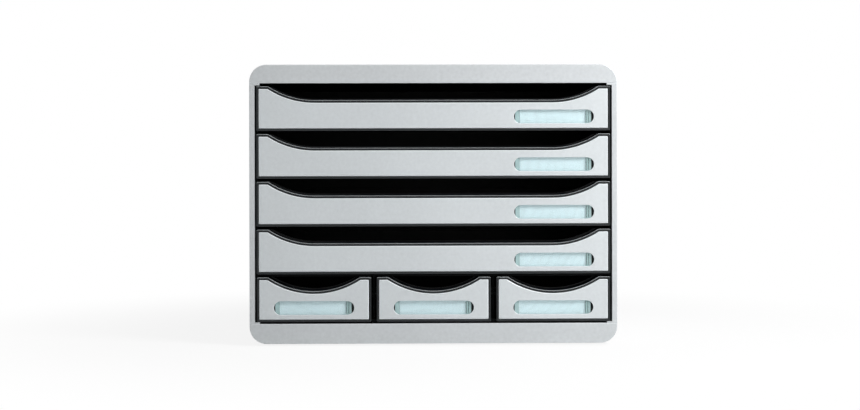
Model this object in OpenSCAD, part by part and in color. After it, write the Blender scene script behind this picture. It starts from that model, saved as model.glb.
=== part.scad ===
// Desk-top drawer cabinet: a silver casing round a black carcass. Wide drawers are stacked over
// a bottom row of small ones, and each drawer slides forwards on rails moulded into the carcass.
// The origin is on the floor, under the middle of the cabinet. +Z is up, the fronts face -Y.

/* [Casing] */
// Overall width of the casing
casing_w = 355; // [310:1:430]
// Overall depth of the casing
casing_d = 270; // [220:1:340]
// Height of the top cover's fascia
top_cover_h = 18; // [17.5:0.5:30]
// Height of the bottom cover's fascia
bottom_cover_h = 19.3; // [17.5:0.1:30]
// Radius of the casing's four outer corners
corner_r = 16.5; // [8:0.5:17]
// Wall of the covers and the side panels
cover_wall = 2.5; // [1.8:0.1:3]
// Thickness of the fascia at the front of each cover
fascia_t = 3; // [2:0.1:4]
// Width of a side panel's front edge
side_edge_w = 5; // [4:0.1:8]
// Depth of the side panel's front and rear returns
return_d = 6; // [4:0.5:8]
// Thickness of the ribs inside the covers
rib_t = 1.6; // [1.2:0.1:2.5]
// Distance from one rib to the next inside the covers
rib_pitch = 60; // [40:1:90]

/* [Corner lugs] */
// Reach of a side panel's end lug into the opening
lug_w = 4.9; // [3:0.1:8]
// Gap between a side panel's upper end flange and the top front
top_lug_gap = 1.03; // [0.4:0.01:1.5]
// Gap between a side panel's lower end flange and the lowest fronts
bottom_lug_gap = 0.35; // [0.3:0.01:0.6]
// Height of the tongue that locates a side panel in a cover
tongue_h = 3; // [1.5:0.1:3.5]
// Thickness of that tongue
tongue_t = 1.8; // [1.2:0.1:2]

/* [Rows] */
// Number of wide drawers
wide_rows = 4; // [1:1:6]
// Number of small drawers side by side in the bottom row
small_columns = 3; // [2:1:4]
// Height from one front to the next
row_pitch = 46.08; // [42:0.04:70]
// Gap between one front and the next above it
row_gap = 3.28; // [2.9:0.01:6]
// Gap under the lowest fronts
bottom_gap = 1.75; // [1.75:0.05:5]
// Gap above the top front
top_gap = 3.03; // [2.6:0.01:6]
// Gap at each side of a wide front
side_gap = 1.5; // [1:0.1:4]
// Gap at each end of the row of small fronts
small_side_gap = 1.8; // [1:0.1:4]
// Gap between two small fronts
small_gap = 5.2; // [5:0.1:8]

/* [Drawer fronts] */
// How far the fronts sit behind the casing's front face
front_setback = 1; // [0:0.1:3]
// Thickness of the tray's front wall with its rim
front_t = 5; // [4.5:0.1:7]
// Radius of the rim's corners
front_corner_r = 1.6; // [0.5:0.1:4]
// Width of the rim round the face plate
rim_w = 2.3; // [1.5:0.1:4]
// How far the rim stands in front of the face plate
rim_proud = 0.1; // [0:0.1:1.5]
// Thickness of the face plate
face_t = 1.6; // [1:0.1:2]
// Radius of the face plate's corners
face_corner_r = 0.8; // [0.3:0.1:2]
// Play round the face plate in its recess
face_play = 0.15; // [0.05:0.05:0.3]
// Depth of the finger scoop in the face plate's top edge
scoop_depth = 13.4; // [8:0.1:16]
// Radius of the scoop's ends on a wide face plate
scoop_r = 82.4; // [60:0.1:100]
// Width of a wide face plate's shoulder beside the scoop
shoulder_w = 8.6; // [5:0.1:30]
// Width of a small face plate's shoulder beside the scoop
small_shoulder_w = 8.1; // [4:0.1:14]

/* [Finger grip] */
// Depth of the grip, from the rim's front to the back of the inner wall
grip_d = 18.4; // [14:0.1:30]
// Thickness of the ledge along the scoop
ledge_t = 2; // [1.5:0.1:3]
// Thickness of the inner wall behind the ledge
inner_wall_t = 2; // [1.5:0.1:3]
// Height of the inner wall above the ledge
bead_h = 1.8; // [0.5:0.1:3]

/* [Labels] */
// Length of the round-ended label window
window_w = 77.4; // [40:0.1:90]
// Height of the label window
window_h = 13.3; // [8:0.1:15]
// Height of the window above the face plate's lower edge
window_base = 4.45; // [3:0.05:8]
// Distance from a wide face plate's right edge to the window
window_inset = 13.5; // [8:0.1:40]
// How much shorter the clear label holder is than the window
holder_short = 3.8; // [1:0.1:8]
// How far the holder reaches above and below the window
holder_lap = 1.8; // [1:0.1:2.5]
// Thickness of the label holder
holder_t = 1.3; // [0.8:0.1:1.5]
// Offset of the holder from the middle of the window
holder_shift = -0.6; // [-2:0.1:2]
// How much shorter the label card is than its holder
card_short = 9.6; // [4:0.1:16]
// Thickness of the label card
card_t = 0.3; // [0.2:0.05:0.5]
// Offset of the card from the middle of the window
card_shift = -1.2; // [-3:0.1:3]
// Depth of the pocket for the holder in the tray's front wall
label_pocket_d = 1.6; // [1.4:0.1:2]
// Play round the holder in its pocket
label_pocket_play = 2.7; // [1:0.1:4]
// Play round the card in its slot, and above and below the holder
card_play = 0.2; // [0.1:0.05:0.4]

/* [Trays] */
// Thickness of the tray's side and back walls
tray_wall = 2; // [1.5:0.1:3]
// Thickness of the tray's floor
tray_floor = 1.8; // [1.2:0.1:3]
// Height of the tray's floor above the lower edge of its front
floor_lift = 1; // [0.5:0.1:3]
// Height of the tray's walls above the ledge in the scoop
wall_rise = 0.65; // [0:0.05:3]
// Thickness of the flange that rides on a rail
flange_t = 2; // [1.5:0.1:3]
// Gap behind a tray when its drawer is shut
tray_back_gap = 4; // [2:0.5:20]
// Length of tray that stays inside when a drawer is pulled out to its stop
held_l = 55.4; // [30:0.1:120]

/* [Runners] */
// Thickness of the runner panels
runner_t = 2.5; // [2:0.1:4]
// Room between a runner panel and the side of a tray
runner_room = 4.5; // [3.5:0.1:8]
// Thickness of the rail under a flange
rail_t = 2.5; // [1.5:0.1:4]
// Thickness of the rail over a flange
keeper_t = 2; // [1.5:0.1:3]
// Play between a rail and the side of a tray
rail_play = 0.8; // [0.4:0.1:1.5]
// Running gap between a flange and the rail under it
run_gap = 0.3; // [0.2:0.05:0.5]
// Gap between a flange and the rail over it
keeper_gap = 0.5; // [0.3:0.05:1]
// Play between the edge of a flange and the runner panel
flange_play = 0.5; // [0.3:0.05:1]
// Gap between the back of a front and the carcass
shut_gap = 0.6; // [0.4:0.1:2]
// Length of a stop, and of the nib that meets it
stop_l = 4; // [2:0.5:8]
// Height of a stop and of its nib
stop_h = 4; // [2:0.5:6]
// Distance from the front end of a rail to its stop
stop_setback = 6; // [2:0.5:20]
// Gap left between nib and stop when the drawer is pulled out
stop_gap = 0.5; // [0.3:0.1:2]
// Overlap of nib and stop, seen from the front
stop_catch = 1.4; // [0.8:0.1:2]

/* [Panels and dividers] */
// Thickness of the roof, floor and back panels
panel_t = 2; // [1.5:0.1:3]
// How far the back panel sits inside the casing's rear edge
rear_rebate = 2; // [2:0.1:5]
// Play round the panels that drop into the casing
panel_play = 0.2; // [0.1:0.05:0.5]
// Gap above and below the shelf over the small drawers
shelf_gap = 0.64; // [0.4:0.01:1]
// Thickness of the dividers between the small drawers
divider_t = 2.2; // [1.5:0.1:3]
// Distance from the drawer fronts' outer face to a divider's front edge
divider_setback = 8; // [6:0.5:20]
// Gap between the foot at the front of a divider and the small fronts
divider_foot_gap = 0.4; // [0.3:0.05:0.8]
// Height of that foot
divider_foot_h = 4.1; // [2:0.1:8]
// Length of that foot
divider_foot_l = 21; // [8:0.5:40]

/* [Feet and screws] */
// Diameter of a rubber foot
foot_dia = 20; // [12:0.5:30]
// Height of the feet below the bottom cover
foot_h = 1.8; // [1:0.1:5]
// Depth of a foot's recess in the bottom cover
foot_recess = 0.8; // [0.4:0.1:1]
// Distance from a foot's middle to the casing's sides, front and back
foot_inset = 30; // [25:0.5:60]
// Play round a foot in its recess
foot_play = 0.3; // [0.1:0.1:0.5]
// Width of the chamfer round a foot's lower edge
foot_chamfer = 0.6; // [0.2:0.1:0.8]
// Radius added to a stacking recess in the top cover, so that a foot drops in
stack_play = 2; // [1:0.1:4]
// Depth of a stacking recess
stack_depth = 1; // [0.5:0.1:1.2]
// Diameter of a screw's shank
screw_dia = 3; // [2.5:0.1:4]
// Length of a screw's shank
screw_l = 12; // [8:0.5:16]
// Diameter of a screw's head
screw_head_dia = 6; // [5:0.1:8]
// Height of a screw's head
screw_head_h = 1.6; // [1.2:0.1:1.8]
// Width of the cross slot in a screw's head
screw_slot_w = 0.9; // [0.6:0.1:1.2]
// Depth of the cross slot in a screw's head
screw_slot_d = 0.9; // [0.5:0.1:1.2]
// Radial play of a screw in its holes
screw_play = 0.1; // [0.05:0.05:0.3]
// Wall of the boss round a screw
boss_wall = 2.4; // [1.6:0.1:3]
// Length of a screw boss
boss_l = 16; // [13:0.5:24]
// Number of screws along each end of the back panel
screw_count = 4; // [2:1:6]
// Distance from the casing's side to the outermost screw
screw_inset = 27.5; // [20:0.5:50]

/* [Colours] */
// Covers, side panels and face plates
silver_colour = "silver";
// Trays, carcass and rims
black_colour = "#2b2d30";
// Clear label holders
holder_colour = "#a8cfcb";
// Label cards
card_colour = "#d9eef0";
// Feet
rubber_colour = "#1c1c1c";
// Screws
steel_colour = "#8d9093";

/* [Hidden] */
$fn = 96;
// Overlap that makes a cut pass clean through a face
cut = 1;
// Overlap that joins a rail, rib or wall to the wall it grows from
weld = 0.5;

// Levels of the casing
opening_z = foot_h + bottom_cover_h;
front_h = row_pitch - row_gap;
opening_h = bottom_gap + wide_rows * row_pitch + front_h + top_gap;
opening_top = opening_z + opening_h;
casing_top = opening_top + top_cover_h;
top_lug_t = top_gap - top_lug_gap;
bottom_lug_t = bottom_gap - bottom_lug_gap;

// Planes across the casing, and from front to back
side_x = casing_w / 2;
opening_x = side_x - side_edge_w;
runner_x = opening_x - runner_t;
casing_front = -casing_d / 2;
casing_back = casing_d / 2;
front_y = casing_front + front_setback;
carcass_front = front_y + front_t + shut_gap;
back_panel_y = casing_back - rear_rebate - panel_t;
tray_back = back_panel_y - tray_back_gap;
drawer_travel = tray_back - carcass_front - held_l;

// Fronts and the bodies of the trays behind them
wide_front_w = 2 * (opening_x - side_gap);
small_row_w = 2 * (opening_x - small_side_gap);
small_front_w = (small_row_w - (small_columns - 1) * small_gap) / small_columns;
small_pitch = small_front_w + small_gap;
small_end_x = (small_columns - 1) / 2 * small_pitch;
wide_body_w = 2 * (runner_x - runner_room);
small_body_w = 2 * (runner_x - small_end_x - runner_room);

// Heights within a drawer, above the lower edge of its front
face_top = front_h - rim_w;
scoop_z = front_h - scoop_depth;
wall_top = scoop_z + wall_rise;
flange_z = wall_top - flange_t;
rail_top = flange_z - run_gap;
rail_z = rail_top - rail_t;
keeper_z = wall_top + keeper_gap;
stop_z = rail_z - stop_h;

// A wide scoop is flat between its round ends, a small one is a single arc
wide_half_chord = sqrt(2 * scoop_r * scoop_depth - scoop_depth * scoop_depth);
wide_flat = wide_front_w / 2 - rim_w - shoulder_w - wide_half_chord;
small_half_chord = small_front_w / 2 - rim_w - small_shoulder_w;
small_scoop_r = (small_half_chord * small_half_chord / scoop_depth + scoop_depth) / 2;
small_flat = 0;

// Label windows and what sits behind them
window_z = rim_w + window_base + window_h / 2;
wide_window_x = wide_front_w / 2 - rim_w - window_inset - window_w / 2;
small_window_x = 0;
holder_w = window_w - holder_short;
holder_h = window_h + 2 * holder_lap;
card_w = holder_w - card_short;
face_y = front_y + rim_proud;
face_pocket_d = rim_proud + face_t;
holder_y = front_y + face_pocket_d;
card_y = holder_y + holder_t - card_t;

// Small fittings
stop_y = carcass_front + stop_setback;
nib_y = stop_y + stop_l + drawer_travel + stop_gap;
nib_w = rail_play + keeper_gap + stop_catch;
shelf_z = front_z(0) + front_h + shelf_gap;
shelf_t = row_gap - 2 * shelf_gap;
divider_foot_w = small_gap - 2 * divider_foot_gap;
divider_y = front_y + divider_setback;
divider_foot_y = front_y + divider_setback - front_t;
top_plate_z = casing_top - cover_wall;
bottom_plate_z = foot_h + cover_wall;
roof_top = opening_top + panel_t;
floor_z = opening_z - panel_t;
top_screw_z = (roof_top + top_plate_z) / 2;
bottom_screw_z = (floor_z + bottom_plate_z) / 2;
foot_x = side_x - foot_inset;
foot_y = casing_d / 2 - foot_inset;
foot_corners = [[-1, -1], [1, -1], [-1, 1], [1, 1]];
screw_end = side_x - screw_inset;
screw_xs = [for (k = [0 : screw_count - 1]) (2 * k / (screw_count - 1) - 1) * screw_end];

// Lowest edge of the fronts in a row, where row 0 holds the small drawers
function front_z(row) = opening_z + bottom_gap + row * row_pitch;
// Middle of small drawer i, counted from the left
function small_x(i) = (i - (small_columns + 1) / 2) * small_pitch;
// Middle of divider i, counted from the left
function divider_x(i) = (i - small_columns / 2) * small_pitch;
// Row of wide drawer i, counted from the top
function wide_row(i) = wide_rows + 1 - i;
// Evenly spaced places on both sides of the middle that stay within a reach
function spaced(pitch, reach) = [for (k = [-floor(reach / pitch) : floor(reach / pitch)]) k * pitch];

wide_numbers = [for (i = [1 : wide_rows]) i];
small_numbers = [for (i = [1 : small_columns]) i];
divider_numbers = [for (i = [1 : small_columns - 1]) i];
foot_numbers = [1, 2, 3, 4];
drawer_pieces = ["tray", "face_plate", "label_holder", "label_card"];

// ---- Helpers ----

// A box between two corners
module box(low, high) {
    translate(low) cube(high - low);
}

// An outline drawn in X and Z, made t thick from plane y towards the back
module upright(y, t) {
    translate([0, y + t, 0]) rotate([90, 0, 0]) linear_extrude(t) children();
}

// A rectangle of half width x between two heights, with all corners rounded
module rounded_slab(x, z0, z1, r) {
    translate([-x + r, z0]) square([2 * (x - r), z1 - z0]);
    translate([-x, z0 + r]) square([2 * x, z1 - z0 - 2 * r]);
    for (side = [-1, 1], z = [z0 + r, z1 - r]) translate([side * (x - r), z]) circle(r);
}

// One end of the casing as an outline, square on the inside of the cabinet and rounded outside,
// between plane z_square and plane z_round, drawn in from the outside by inset
module end_outline(z_square, z_round, inset) {
    away = sign(z_round - z_square);
    r = min(corner_r, abs(z_round - z_square) - 1) - inset;
    x = side_x - inset;
    z = z_round - away * inset;
    low = min(z_square, z);
    high = max(z_square, z);
    intersection() {
        translate([-x, low]) square([2 * x, high - low]);
        union() {
            translate([-x + r, low]) square([2 * (x - r), high - low]);
            translate([-x, min(z_square, z - away * r)]) square([2 * x, high - low - r]);
            for (side = [-1, 1]) translate([side * (x - r), z - away * r]) circle(r);
        }
    }
}

module top_outline(inset) {
    end_outline(opening_top, casing_top, inset);
}

module bottom_outline(inset) {
    end_outline(opening_z, foot_h, inset);
}

// Two copies, one each side of the cabinet's middle
module both_sides() {
    for (side = [0, 1]) mirror([side, 0, 0]) children();
}

// ---- Covers ----

// Ribs along and across a cover, between two heights
module cover_ribs(z0, z1) {
    fascia_y = casing_front + fascia_t - weld;
    for (x = spaced(rib_pitch, opening_x - corner_r)) {
        box([x - rib_t / 2, fascia_y, z0], [x + rib_t / 2, back_panel_y, z1]);
    }
    for (y = spaced(rib_pitch, back_panel_y - rib_t)) {
        box([-opening_x, y - rib_t / 2, z0], [opening_x, y + rib_t / 2, z1]);
    }
}

// Bosses that take the back panel's screws, tied to the plate at plate_z
module screw_bosses(z, plate_z) {
    for (x = screw_xs) {
        upright(back_panel_y - boss_l, boss_l) translate([x, z]) circle(screw_dia / 2 + boss_wall);
        box([x - rib_t / 2, back_panel_y - boss_l, min(z, plate_z)],
            [x + rib_t / 2, back_panel_y, max(z, plate_z)]);
    }
}

// The holes in those bosses
module screw_bores(z) {
    for (x = screw_xs) {
        upright(back_panel_y - boss_l + boss_wall, boss_l) translate([x, z])
            circle(screw_dia / 2 + screw_play);
    }
}

// Silver cap with rounded shoulders, a fascia in front and stacking recesses on top
module top_cover() {
    color(silver_colour) difference() {
        union() {
            difference() {
                upright(casing_front, casing_d) top_outline(0);
                upright(casing_front + fascia_t, casing_d) top_outline(cover_wall);
                box([-side_x + cover_wall, casing_front + fascia_t, opening_top - cut],
                    [side_x - cover_wall, casing_back + cut, opening_top + cut]);
            }
            intersection() {
                union() {
                    cover_ribs(roof_top, top_plate_z + cover_wall / 2);
                    screw_bosses(top_screw_z, top_plate_z);
                }
                upright(casing_front, casing_d) top_outline(cover_wall / 2);
            }
        }
        screw_bores(top_screw_z);
        for (corner = foot_corners) {
            translate([corner.x * foot_x, corner.y * foot_y, casing_top - stack_depth])
                cylinder(r = foot_dia / 2 + stack_play, h = stack_depth + cut);
        }
    }
}

// Silver base with rounded lower corners and a recess for each foot
module bottom_cover() {
    color(silver_colour) difference() {
        union() {
            difference() {
                upright(casing_front, casing_d) bottom_outline(0);
                upright(casing_front + fascia_t, casing_d) bottom_outline(cover_wall);
                box([-side_x + cover_wall, casing_front + fascia_t, opening_z - cut],
                    [side_x - cover_wall, casing_back + cut, opening_z + cut]);
            }
            intersection() {
                union() {
                    cover_ribs(bottom_plate_z - cover_wall / 2, floor_z);
                    screw_bosses(bottom_screw_z, bottom_plate_z);
                }
                upright(casing_front, casing_d) bottom_outline(cover_wall / 2);
            }
        }
        screw_bores(bottom_screw_z);
        for (corner = foot_corners) {
            translate([corner.x * foot_x, corner.y * foot_y, foot_h - cut])
                cylinder(r = foot_dia / 2 + foot_play, h = foot_recess + cut);
        }
    }
}

// ---- Side panels ----

// The right-hand panel: a plate with a return at each edge, end lugs and locating tongues
module side_panel() {
    tongue_x = side_x - cover_wall - panel_play;
    tongue_end = casing_d / 2 - 2 * return_d;
    color(silver_colour) union() {
        box([side_x - cover_wall, casing_front, opening_z], [side_x, casing_back, opening_top]);
        box([opening_x, casing_front, opening_z],
            [side_x, casing_front + return_d, opening_top]);
        box([opening_x, casing_back - return_d, opening_z], [side_x, casing_back, opening_top]);
        box([opening_x - lug_w, casing_front, opening_top - top_lug_t],
            [side_x, casing_front + return_d, opening_top]);
        box([opening_x - lug_w, casing_front, opening_z],
            [side_x, casing_front + return_d, opening_z + bottom_lug_t]);
        box([opening_x, casing_front, opening_top - top_lug_t],
            [side_x, casing_back, opening_top]);
        box([opening_x, casing_front, opening_z], [side_x, casing_back, opening_z + bottom_lug_t]);
        box([tongue_x - tongue_t, -tongue_end, opening_top - top_lug_t],
            [tongue_x, tongue_end, opening_top + tongue_h]);
        box([tongue_x - tongue_t, -tongue_end, opening_z - tongue_h],
            [tongue_x, tongue_end, opening_z + bottom_lug_t]);
        for (row = [1 : wide_rows]) {
            box([opening_x, casing_front, front_z(row) - row_gap - rib_t],
                [side_x, casing_back, front_z(row) - row_gap]);
        }
    }
}

// ---- Carcass ----

// The rails of one row, standing out from plane x to plane reach, with a stop under the lower
// one that stays keeper_gap short of that plane
module rails(x, reach, row) {
    toward = sign(reach - x);
    z = front_z(row);
    root = x - toward * weld;
    stop_reach = reach - toward * keeper_gap;
    box([min(root, reach), carcass_front, z + rail_z],
        [max(root, reach), back_panel_y, z + rail_top]);
    box([min(root, reach), carcass_front, z + keeper_z],
        [max(root, reach), back_panel_y, z + keeper_z + keeper_t]);
    box([min(root, stop_reach), stop_y, z + stop_z],
        [max(root, stop_reach), stop_y + stop_l, z + rail_top]);
}

// The right-hand runner panel, with a pair of rails for each row and one under the shelf
module runner_panel() {
    reach = runner_x - runner_room + rail_play;
    color(black_colour) union() {
        box([runner_x, carcass_front, opening_z], [opening_x, back_panel_y, opening_top]);
        for (row = [0 : wide_rows]) rails(runner_x, reach, row);
        box([reach, carcass_front, shelf_z - rail_t], [opening_x, back_panel_y, shelf_z]);
    }
}

// Plate across the whole carcass between two heights, behind the fascias
module cross_panel(z0, z1) {
    color(black_colour) box([-opening_x, casing_front + fascia_t + panel_play, z0],
                            [opening_x, back_panel_y, z1]);
}

module roof_panel() {
    cross_panel(opening_top, roof_top);
}

module floor_panel() {
    cross_panel(floor_z, opening_z);
}

// Rear wall, inside the casing's rear edges, with a hole for each screw
module back_panel() {
    inset = cover_wall + panel_play;
    x = opening_x - panel_play;
    color(black_colour) upright(back_panel_y, panel_t) difference() {
        intersection() {
            translate([-x, foot_h]) square([2 * x, casing_top - foot_h]);
            union() {
                top_outline(inset);
                translate([-x, opening_z]) square([2 * x, opening_h]);
                bottom_outline(inset);
            }
        }
        for (x = screw_xs, z = [top_screw_z, bottom_screw_z]) {
            translate([x, z]) circle(screw_dia / 2 + screw_play);
        }
    }
}

// Shelf over the small drawers, resting on the runner panels and the dividers
module drawer_shelf() {
    color(black_colour) box([-runner_x, carcass_front, shelf_z],
                            [runner_x, back_panel_y, shelf_z + shelf_t]);
}

// Upright plate between two small drawers, with rails on both faces and a foot in front
module divider(i) {
    x = divider_x(i);
    face = divider_t / 2;
    reach = small_pitch / 2 - small_body_w / 2 - rail_play;
    color(black_colour) translate([x, 0, 0]) union() {
        box([-face, divider_y, opening_z], [face, back_panel_y, shelf_z]);
        box([-divider_foot_w / 2, divider_foot_y, opening_z],
            [divider_foot_w / 2, divider_foot_y + divider_foot_l, opening_z + divider_foot_h]);
        for (side = [-1, 1]) rails(side * face, side * reach, 0);
    }
}

// ---- Screws and feet ----

// Pan-head screw with a cross slot, its head's seat at the origin and its head towards +Y
module screw() {
    rotate([-90, 0, 0]) {
        difference() {
            cylinder(d = screw_head_dia, h = screw_head_h);
            for (turn = [0, 90]) {
                rotate(turn) translate([-screw_head_dia / 3, -screw_slot_w / 2,
                                        screw_head_h - screw_slot_d])
                    cube([2 * screw_head_dia / 3, screw_slot_w, screw_slot_d + cut]);
            }
        }
        translate([0, 0, -screw_l]) cylinder(d = screw_dia, h = screw_l + screw_slot_d / 4);
    }
}

module back_screws() {
    color(steel_colour) for (x = screw_xs, z = [top_screw_z, bottom_screw_z]) {
        translate([x, back_panel_y + panel_t, z]) screw();
    }
}

// Rubber disc with a chamfered lower edge, set into its recess
module foot(i) {
    corner = foot_corners[i - 1];
    r = foot_dia / 2;
    color(rubber_colour) translate([corner.x * foot_x, corner.y * foot_y, 0]) {
        cylinder(r1 = r - foot_chamfer, r2 = r, h = foot_chamfer);
        translate([0, 0, foot_chamfer]) cylinder(r = r, h = foot_h + foot_recess - foot_chamfer);
    }
}

// ---- Drawers ----
// Each piece is drawn round the middle of its drawer, above the lower edge of its front.

// The finger scoop, flat in the middle. Its ends have radius r on the face plate, which lies
// rim_w inside the rim's own edge, so inset rim_w gives the plate's edge and 0 gives the rim's.
module scoop(flat, r, inset) {
    middle_z = face_top - scoop_depth + r;
    reach = r - rim_w + inset;
    for (side = flat > 0 ? [-1, 1] : [0]) translate([side * flat, middle_z]) circle(reach);
    if (flat > 0) translate([-flat, middle_z - reach]) square([2 * flat, reach]);
}

// The outline of a front of width w, drawn in from its edges by inset
module front_outline(w, flat, r, inset, corner) {
    difference() {
        rounded_slab(w / 2 - inset, inset, front_h - inset, corner);
        scoop(flat, r, inset);
    }
}

// The outline of the grip above base, its upper edge set drop below the rim's in the scoop
module grip_outline(w, flat, r, base, drop) {
    difference() {
        translate([-w / 2, base]) square([w, front_h - max(drop, 0) - base]);
        scoop(flat, r, drop);
    }
}

// The tray of a drawer: rimmed front, grip, walls, floor, flanges and stop nibs
module tray(front_w, body_w, flat, r, window_x) {
    body_x = body_w / 2;
    inner_x = body_x - tray_wall;
    flange_x = body_x + runner_room - flange_play;
    grip_y = front_y + front_t;
    inner_wall_y = front_y + grip_d - inner_wall_t;
    pocket_x = holder_w / 2 + label_pocket_play;
    pocket_z = holder_h / 2 + card_play;
    pocket_y = front_y + face_pocket_d + label_pocket_d;
    color(black_colour) difference() {
        union() {
            upright(front_y, front_t) front_outline(front_w, flat, r, 0, front_corner_r);
            difference() {
                upright(grip_y - weld, inner_wall_y + weld - grip_y)
                    grip_outline(body_w, flat, r, floor_lift, 0);
                upright(grip_y, inner_wall_y - grip_y)
                    grip_outline(2 * inner_x, flat, r, -cut, ledge_t);
            }
            upright(inner_wall_y, inner_wall_t) grip_outline(body_w, flat, r, floor_lift, -bead_h);
            box([-body_x, inner_wall_y, floor_lift], [body_x, tray_back, floor_lift + tray_floor]);
            box([-body_x, tray_back - tray_wall, floor_lift], [body_x, tray_back, wall_top]);
            both_sides() {
                box([inner_x, inner_wall_y, floor_lift], [body_x, tray_back, wall_top]);
                box([inner_x, grip_y - weld, flange_z], [flange_x, tray_back, wall_top]);
                box([inner_x, nib_y, stop_z], [body_x + nib_w, nib_y + stop_l, rail_z - keeper_gap]);
            }
        }
        upright(front_y - cut, face_pocket_d + cut)
            front_outline(front_w, flat, r, rim_w - face_play, face_corner_r);
        translate([window_x + holder_shift, 0, window_z])
            box([-pocket_x, front_y, -pocket_z], [pocket_x, pocket_y, pocket_z]);
    }
}

// Silver plate in the rim's recess, scooped along the top, with the round-ended label window
module face_plate(front_w, flat, r, window_x) {
    end_r = window_h / 2;
    end_x = window_w / 2 - end_r;
    color(silver_colour) upright(face_y, face_t) difference() {
        front_outline(front_w, flat, r, rim_w, face_corner_r);
        translate([window_x, window_z]) {
            translate([-end_x, -end_r]) square([2 * end_x, window_h]);
            for (side = [-1, 1]) translate([side * end_x, 0]) circle(end_r);
        }
    }
}

// Clear holder behind the window, with a slot at its back that is open above for the card
module label_holder(window_x) {
    x = holder_w / 2;
    z = holder_h / 2;
    slot_x = card_w / 2 + card_play;
    slot_shift = card_shift - holder_shift;
    color(holder_colour) translate([window_x + holder_shift, 0, window_z]) difference() {
        box([-x, holder_y, -z], [x, holder_y + holder_t, z]);
        translate([slot_shift, 0, 0])
            box([-slot_x, card_y, card_play - z], [slot_x, holder_y + holder_t + cut, z + cut]);
    }
}

// Card that slides into the holder from above
module label_card(window_x) {
    x = card_w / 2;
    z = holder_h / 2;
    color(card_colour) translate([window_x + card_shift, 0, window_z])
        box([-x, card_y, card_play - z], [x, card_y + card_t, z]);
}

// One piece of a drawer, by its name
module drawer_piece(piece, front_w, body_w, flat, r, window_x) {
    if (piece == "tray") tray(front_w, body_w, flat, r, window_x);
    if (piece == "face_plate") face_plate(front_w, flat, r, window_x);
    if (piece == "label_holder") label_holder(window_x);
    if (piece == "label_card") label_card(window_x);
}

module wide_piece(piece, i) {
    translate([0, 0, front_z(wide_row(i))])
        drawer_piece(piece, wide_front_w, wide_body_w, wide_flat, scoop_r, wide_window_x);
}

module small_piece(piece, i) {
    translate([small_x(i), 0, front_z(0)])
        drawer_piece(piece, small_front_w, small_body_w, small_flat, small_scoop_r, small_window_x);
}

// ---- The cabinet ----

top_cover();
bottom_cover();
mirror([1, 0, 0]) side_panel();  // left_side_panel
side_panel();  // right_side_panel
roof_panel();
floor_panel();
mirror([1, 0, 0]) runner_panel();  // left_runner_panel
runner_panel();  // right_runner_panel
back_panel();
drawer_shelf();
back_screws();
for (i = divider_numbers) {
    divider(i);
}
for (i = foot_numbers) {
    foot(i);
}
for (i = wide_numbers, piece = drawer_pieces) {
    wide_piece(piece, i);
}
for (i = small_numbers, piece = drawer_pieces) {
    small_piece(piece, i);
}
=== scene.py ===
# %% [markdown]
# # A desk-top drawer cabinet in silver and black
#
# The real object is a moulded plastic cabinet: a silver casing with rounded outer corners, four
# wide black drawers and a row of three small ones, each with a silver plate on its front. The CAD
# model already has every size right. What is left for Blender is what the eye reads as real:
# rounded edges that catch the light, fine moulded grain, clear label holders, and soft light.
#
# Everything here is in metres, with the origin on the floor under the middle of the cabinet.

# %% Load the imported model
import math

import bmesh
import bpy
from mathutils import Euler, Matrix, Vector


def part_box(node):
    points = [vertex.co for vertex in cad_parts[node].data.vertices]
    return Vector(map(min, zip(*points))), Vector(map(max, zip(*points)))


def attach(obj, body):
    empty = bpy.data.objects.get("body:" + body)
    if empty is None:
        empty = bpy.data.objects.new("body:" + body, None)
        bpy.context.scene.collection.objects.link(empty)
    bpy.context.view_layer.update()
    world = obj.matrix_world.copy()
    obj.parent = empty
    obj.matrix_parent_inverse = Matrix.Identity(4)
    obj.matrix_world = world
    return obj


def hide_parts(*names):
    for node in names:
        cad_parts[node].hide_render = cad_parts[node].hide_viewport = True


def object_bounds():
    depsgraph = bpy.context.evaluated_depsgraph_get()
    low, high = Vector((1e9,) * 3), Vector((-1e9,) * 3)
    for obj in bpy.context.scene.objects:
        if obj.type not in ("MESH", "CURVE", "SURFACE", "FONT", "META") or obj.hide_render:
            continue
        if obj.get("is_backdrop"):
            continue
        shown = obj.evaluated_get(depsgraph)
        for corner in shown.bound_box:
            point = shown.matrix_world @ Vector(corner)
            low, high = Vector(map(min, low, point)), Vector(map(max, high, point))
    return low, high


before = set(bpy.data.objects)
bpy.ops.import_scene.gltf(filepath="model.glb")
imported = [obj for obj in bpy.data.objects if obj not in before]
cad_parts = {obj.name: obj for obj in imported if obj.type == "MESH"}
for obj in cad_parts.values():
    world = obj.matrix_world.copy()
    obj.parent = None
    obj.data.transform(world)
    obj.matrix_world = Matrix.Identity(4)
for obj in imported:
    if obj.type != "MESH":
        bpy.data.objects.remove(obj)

cad_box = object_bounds()
MM = 0.001
FRONT = cad_box[0].y
BACK = cad_box[1].y
SIDE = cad_box[1].x
print("CAD box, in mm:", [round(side / MM) for side in cad_box[1] - cad_box[0]])

# %% [markdown]
# ## The camera
#
# The photograph looks almost straight at the drawer fronts, from a little above their middle. The
# upright edges stay parallel, so the camera is level, and the picture is slid down instead of
# tilted: that is what a lens shift does. The level lines come together very slightly towards the
# right, so the left side is nearer, and the whole picture leans by a tenth of a degree.

# %% Place the camera
PHOTO_W, PHOTO_H = 860, 410
PIXELS_PER_METRE = 1036.6
HORIZON_PIXEL = 146.3
CAMERA_DISTANCE = 1.65
CAMERA_HEIGHT = 0.192
AIM_X = -0.0034
TURN = math.radians(1.0)
LEAN = math.radians(-0.12)
SENSOR_W = 36.0

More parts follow.
